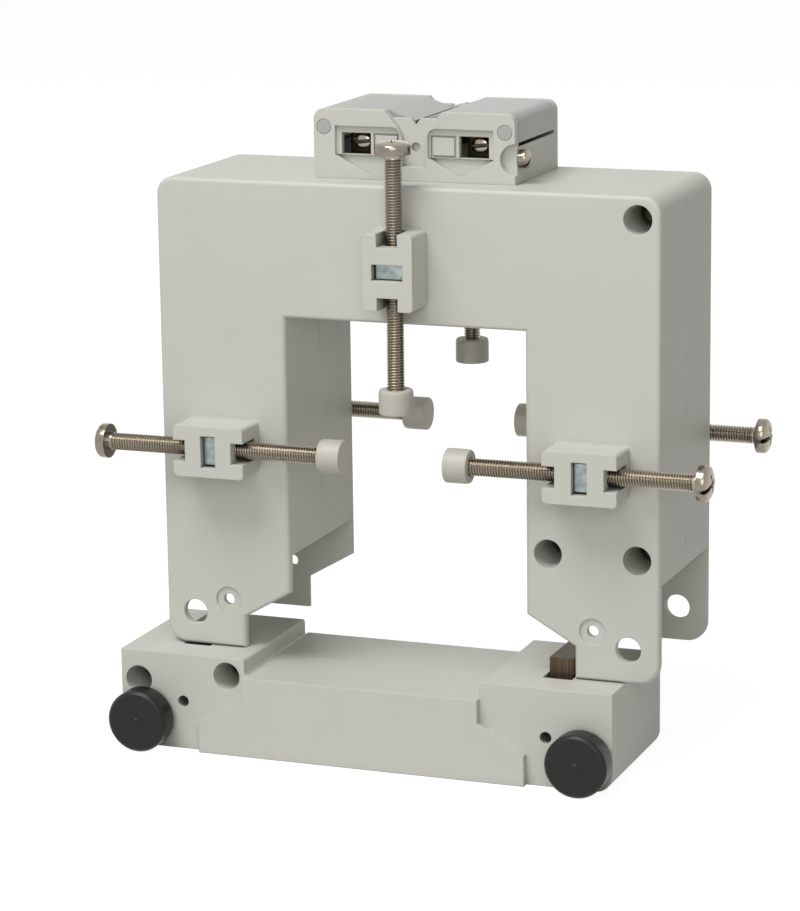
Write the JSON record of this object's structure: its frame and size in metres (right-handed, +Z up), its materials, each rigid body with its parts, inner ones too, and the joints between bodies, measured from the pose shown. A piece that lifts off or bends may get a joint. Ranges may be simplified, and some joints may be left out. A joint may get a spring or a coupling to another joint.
{
  "type": "split-core current transformer",
  "caption": "Split-core current transformer: U-shaped housing with clamp screws round its window, hinged terminal covers, and a removable closing bar with thumb knobs.",
  "frame": {"origin": "centre of the flat underside of the closing bar, on which the object rests", "axes": "+X along the bar towards the side fixing screw of the terminal block, +Y from the front with the thumb knobs to the rear, +Z up towards the terminal block"},
  "size_m": [0.1844, 0.0839, 0.1857],
  "materials": {
    "housing_plastic": "fine matt moulded",
    "cover_plastic": "satin moulded",
    "cap_plastic": "smooth moulded",
    "knob_plastic": "satin black moulded",
    "screw_steel": "bright nickel plated",
    "nut_steel": "bright zinc plated",
    "core_steel": "dark annealed strip, wound",
    "bobbin_plastic": "plain moulded",
    "winding_copper": "enamelled copper wire",
    "insert_brass": "turned and knurled"
  },
  "bodies": {
    "transformer": {"upper_front_shell": "housing_plastic", "upper_rear_shell": "housing_plastic", "bar_front_shell": "housing_plastic", "bar_rear_shell": "housing_plastic", "upper_core": "core_steel", "bar_core": "core_steel", "left_bobbin": "bobbin_plastic", "right_bobbin": "bobbin_plastic", "left_winding": "winding_copper", "right_winding": "winding_copper", "clamp_nuts": "nut_steel", "upper_housing_screws": "screw_steel", "bar_housing_screws": "screw_steel", "stud_inserts": "insert_brass", "terminal_block": "housing_plastic", "left_terminal_clamp": "insert_brass", "right_terminal_clamp": "insert_brass", "side_fixing_screw": "screw_steel"},
    "clamp_front_left": {"clamp_screw_front_left": "screw_steel", "pressure_cap_front_left": "cap_plastic"},
    "clamp_front_right": {"clamp_screw_front_right": "screw_steel", "pressure_cap_front_right": "cap_plastic"},
    "clamp_front_top": {"clamp_screw_front_top": "screw_steel", "pressure_cap_front_top": "cap_plastic"},
    "clamp_rear_left": {"clamp_screw_rear_left": "screw_steel", "pressure_cap_rear_left": "cap_plastic"},
    "clamp_rear_right": {"clamp_screw_rear_right": "screw_steel", "pressure_cap_rear_right": "cap_plastic"},
    "clamp_rear_top": {"clamp_screw_rear_top": "screw_steel", "pressure_cap_rear_top": "cap_plastic"},
    "left_closing_knob": {"left_knob": "knob_plastic", "left_knob_stud": "screw_steel"},
    "left_cover": {"left_terminal_cover": "cover_plastic"},
    "left_wire_screw": {"left_terminal_screw": "screw_steel"},
    "right_closing_knob": {"right_knob": "knob_plastic", "right_knob_stud": "screw_steel"},
    "right_cover": {"right_terminal_cover": "cover_plastic"},
    "right_wire_screw": {"right_terminal_screw": "screw_steel"}
  },
  "joints": [
    {"name": "clamp_feed_front_left", "type": "slide", "parent": "transformer", "child": "clamp_front_left", "axis": [1, 0, 0], "range_m": [-0.02, 0.012]},
    {"name": "clamp_feed_front_right", "type": "slide", "parent": "transformer", "child": "clamp_front_right", "axis": [-1, 0, 0], "range_m": [-0.02, 0.012]},
    {"name": "clamp_feed_front_top", "type": "slide", "parent": "transformer", "child": "clamp_front_top", "axis": [0, 0, -1], "range_m": [-0.02, 0.008]},
    {"name": "clamp_feed_rear_left", "type": "slide", "parent": "transformer", "child": "clamp_rear_left", "axis": [1, 0, 0], "range_m": [-0.02, 0.012]},
    {"name": "clamp_feed_rear_right", "type": "slide", "parent": "transformer", "child": "clamp_rear_right", "axis": [-1, 0, 0], "range_m": [-0.02, 0.012]},
    {"name": "clamp_feed_rear_top", "type": "slide", "parent": "transformer", "child": "clamp_rear_top", "axis": [0, 0, -1], "range_m": [-0.018, 0.011]},
    {"name": "left_knob_turn", "type": "hinge", "parent": "transformer", "child": "left_closing_knob", "pos_m": [-0.0668, -0.023, 0.0093], "axis": [0, -1, 0], "continuous": true},
    {"name": "left_cover_hinge", "type": "hinge", "parent": "transformer", "child": "left_cover", "pos_m": [-0.017, 0.0172, 0.1805], "axis": [0, -1, 0], "range_deg": [0, 105]},
    {"name": "left_wire_screw_turn", "type": "hinge", "parent": "transformer", "child": "left_wire_screw", "pos_m": [-0.0076, 0.006, 0.17595], "axis": [0, -1, 0], "continuous": true},
    {"name": "right_knob_turn", "type": "hinge", "parent": "transformer", "child": "right_closing_knob", "pos_m": [0.0668, -0.023, 0.0093], "axis": [0, -1, 0], "continuous": true},
    {"name": "right_cover_hinge", "type": "hinge", "parent": "transformer", "child": "right_cover", "pos_m": [0.037, 0.0172, 0.1805], "axis": [0, 1, 0], "range_deg": [0, 105]},
    {"name": "right_wire_screw_turn", "type": "hinge", "parent": "transformer", "child": "right_wire_screw", "pos_m": [0.0276, 0.006, 0.17595], "axis": [0, -1, 0], "continuous": true}
  ]
}
